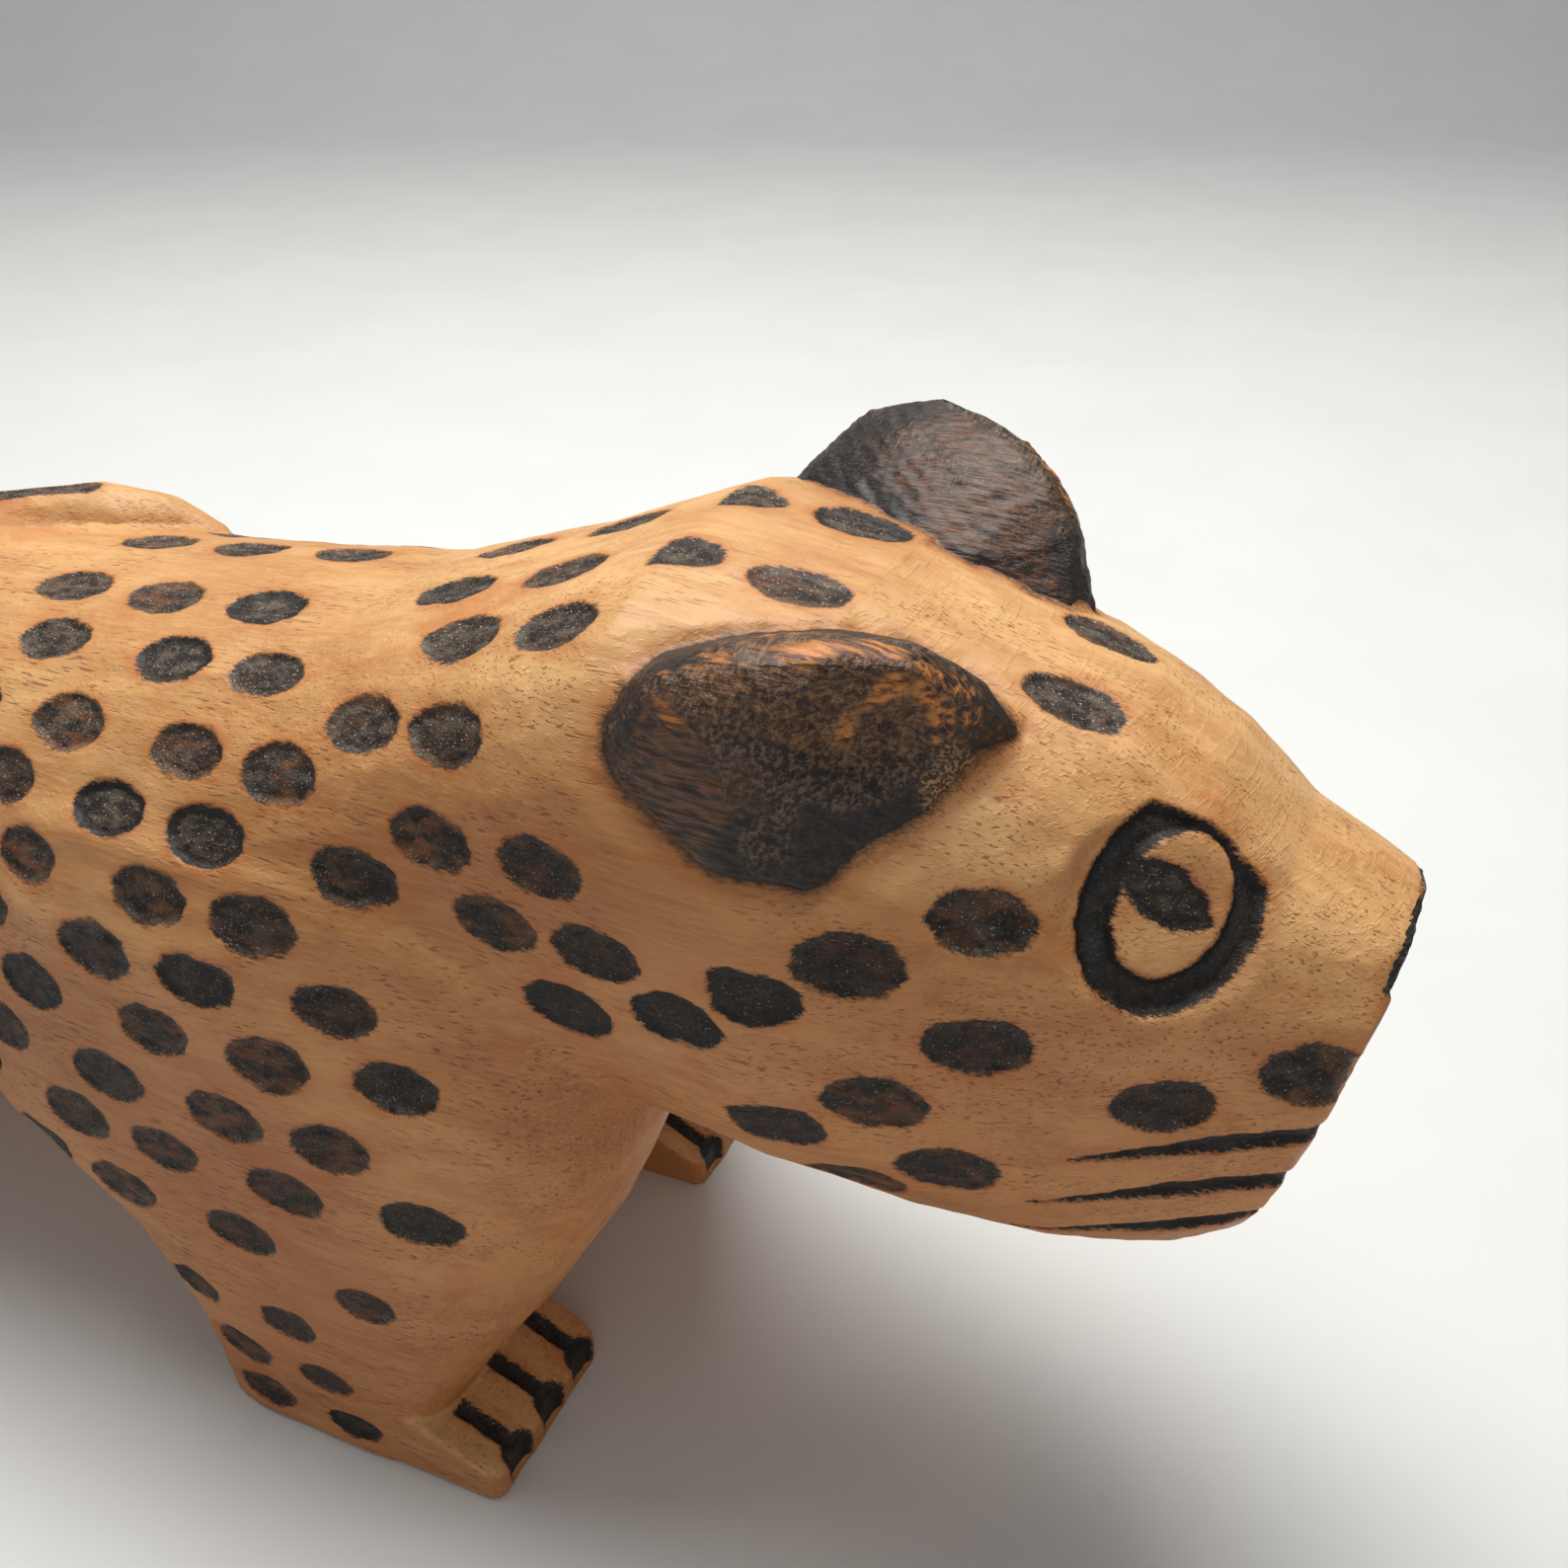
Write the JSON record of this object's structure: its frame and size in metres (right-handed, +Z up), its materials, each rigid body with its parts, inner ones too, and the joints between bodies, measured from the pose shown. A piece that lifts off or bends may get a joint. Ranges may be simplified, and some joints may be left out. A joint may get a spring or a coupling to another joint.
{
  "type": "carved wooden figurine",
  "caption": "Spotted big cat carved from one block of light wood, on four thick legs, with eyes, ears, claws and coat spots burnt in.",
  "frame": {"origin": "On the floor the figure stands on, under the middle of its length and of its width.", "axes": "+X from rump to nose, +Y to the animal's left, +Z up."},
  "size_m": [0.2697, 0.087, 0.1267],
  "materials": {
    "bare_wood": "oiled and lightly polished, fine open pores along the body",
    "ear_char": "scorched dark brown with amber patches where the knife left wood showing",
    "spot_char": "rough iron-burnt char, brown-black with a grey bloom",
    "deep_char": "deep black burnt groove, slightly glossy"
  },
  "bodies": {
    "root": {"carved_block": "bare_wood", "left_ear": "ear_char", "right_ear": "ear_char", "nose_burn": "deep_char", "tail_burn": "spot_char", "left_eye_ring": "deep_char", "left_eye_pupil": "spot_char", "left_whisker_burns": "spot_char", "left_front_claw_burns": "deep_char", "left_hind_claw_burns": "deep_char", "left_head_spots": "spot_char", "left_neck_spots": "spot_char", "left_back_spots": "spot_char", "left_flank_spots": "spot_char", "left_front_leg_spots": "spot_char", "left_hind_leg_spots": "spot_char", "right_eye_ring": "deep_char", "right_eye_pupil": "spot_char", "right_whisker_burns": "spot_char", "right_front_claw_burns": "deep_char", "right_hind_claw_burns": "deep_char", "right_head_spots": "spot_char", "right_neck_spots": "spot_char", "right_back_spots": "spot_char", "right_flank_spots": "spot_char", "right_front_leg_spots": "spot_char", "right_hind_leg_spots": "spot_char"}
  },
  "joints": []
}
